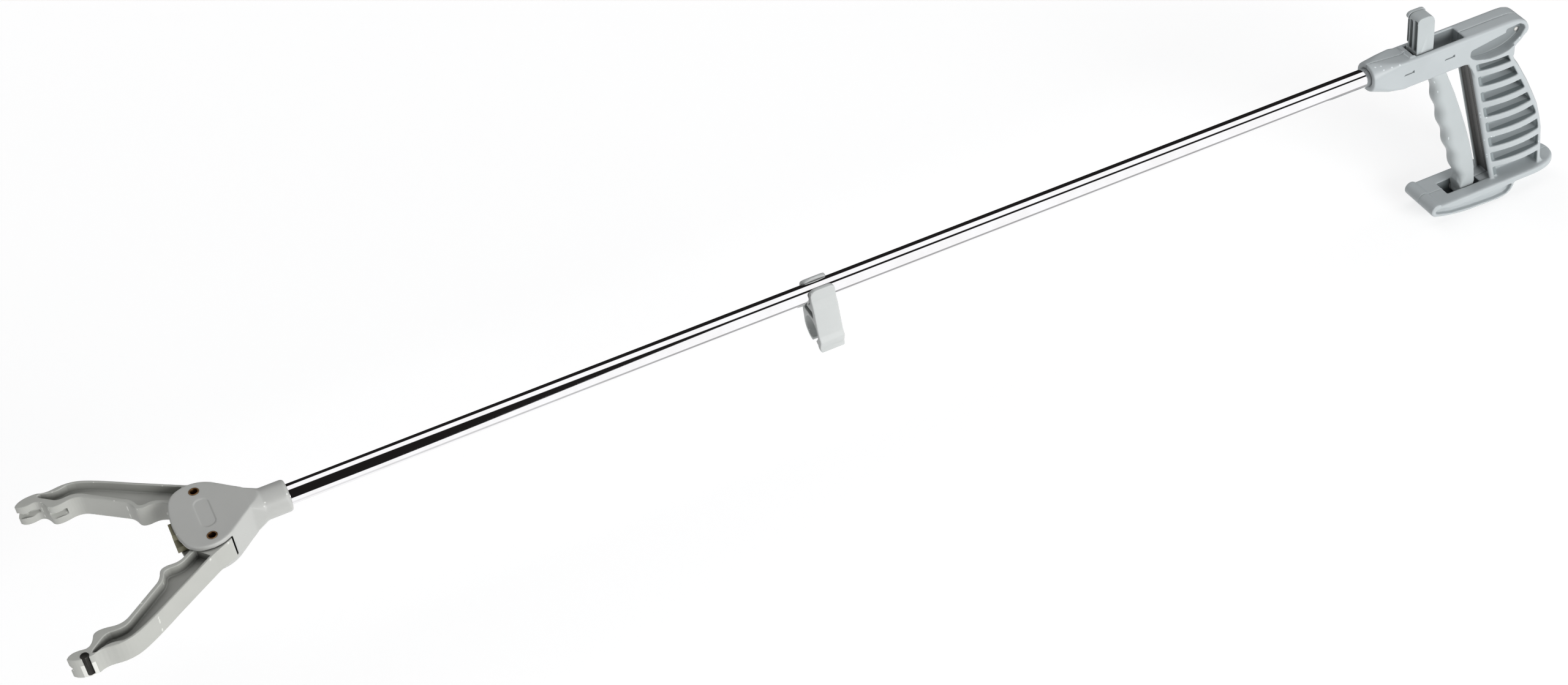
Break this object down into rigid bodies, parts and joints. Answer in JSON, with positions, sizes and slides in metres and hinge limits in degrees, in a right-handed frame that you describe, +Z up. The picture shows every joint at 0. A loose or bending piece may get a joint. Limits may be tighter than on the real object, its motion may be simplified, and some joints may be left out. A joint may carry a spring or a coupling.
{
  "type": "reacher grabber",
  "caption": "Long-handled reacher: a pistol-grip trigger handle pulls a rod through a slim tube and closes a pair of channel-section jaws; a side clip stows it on a rail.",
  "frame": {"origin": "middle of the hand grip, on the handle's mid-plane", "axes": "+X along the shaft from the handle towards the jaws, +Z up from the grip to the shaft, +Y to the user's left; the shaft axis is 64 mm above the origin"},
  "size_m": [0.9945, 0.1393, 0.1629],
  "materials": {
    "chromed_tube": "polished, bright",
    "steel_rod": "drawn steel",
    "steel_fittings": "zinc plated",
    "brass_fittings": "turned brass",
    "spring_wire": "spring steel",
    "rivet_copper": "coppered steel",
    "magnet": "dark nickel plated magnet",
    "white_nylon": "natural nylon",
    "natural_nylon": "oil-stained natural nylon",
    "head_plastic": "fine satin moulded",
    "jaw_plastic": "fine satin moulded",
    "trigger_plastic": "fine satin moulded",
    "handle_plastic": "fine satin moulded",
    "clip_plastic": "fine satin moulded"
  },
  "bodies": {
    "frame": {"shaft_tube": "chromed_tube", "spring_seat": "white_nylon", "rod_guide": "white_nylon", "jaw_head": "head_plastic", "jaw_rivets": "rivet_copper", "jaw_washers": "white_nylon", "trigger_pivot_pin": "steel_fittings", "trigger_washers": "white_nylon", "handle_left_shell": "handle_plastic", "handle_right_shell": "handle_plastic", "shell_dowels": "white_nylon"},
    "trigger": {"trigger": "trigger_plastic", "lock_pin": "steel_fittings"},
    "thumb_lock": {"thumb_lock": "trigger_plastic"},
    "rod": {"pull_rod": "steel_rod", "rod_eye": "steel_fittings", "rod_pin": "steel_fittings", "rod_collar": "brass_fittings", "return_spring": "spring_wire", "rod_locknut": "steel_fittings", "crosshead": "natural_nylon", "crosshead_pin": "steel_fittings"},
    "jaw_left": {"jaw_left": "jaw_plastic", "tip_magnet": "magnet"},
    "jaw_right": {"jaw_right": "jaw_plastic"},
    "clip": {"storage_clip": "clip_plastic"}
  },
  "joints": [
    {"name": "trigger_pull", "type": "hinge", "parent": "frame", "child": "trigger", "pos_m": [0.027, 0, -0.0585], "axis": [0, -1, 0], "range_deg": [0, 8.6], "stiffness_Nm_per_rad": 4.8, "springref_deg": -4.58},
    {"name": "rod_slide", "type": "slide", "parent": "frame", "child": "rod", "axis": [-1, 0, 0], "range_m": [0, 0.019], "deforming": ["return_spring"]},
    {"name": "left_jaw_swing", "type": "hinge", "parent": "frame", "child": "jaw_left", "pos_m": [0.86, 0.0194, 0.064], "axis": [0, 0, -1], "range_deg": [0, 36.6]},
    {"name": "right_jaw_swing", "type": "hinge", "parent": "frame", "child": "jaw_right", "pos_m": [0.86, -0.0194, 0.064], "axis": [0, 0, 1], "range_deg": [0, 36.6]},
    {"name": "thumb_lock_tilt", "type": "hinge", "parent": "trigger", "child": "thumb_lock", "pos_m": [0.0676, -0.005, 0.084], "axis": [0, -1, 0], "range_deg": [0, 10]},
    {"name": "clip_swivel", "type": "hinge", "parent": "frame", "child": "clip", "pos_m": [0.487, 0, 0.064], "axis": [1, 0, 0], "continuous": true}
  ],
  "couplings": [
    {"joint": "rod_slide", "follows": "trigger_pull", "m_per_rad": 0.12605},
    {"joint": "left_jaw_swing", "follows": "trigger_pull", "ratio": 4.2442},
    {"joint": "right_jaw_swing", "follows": "trigger_pull", "ratio": 4.2442}
  ]
}
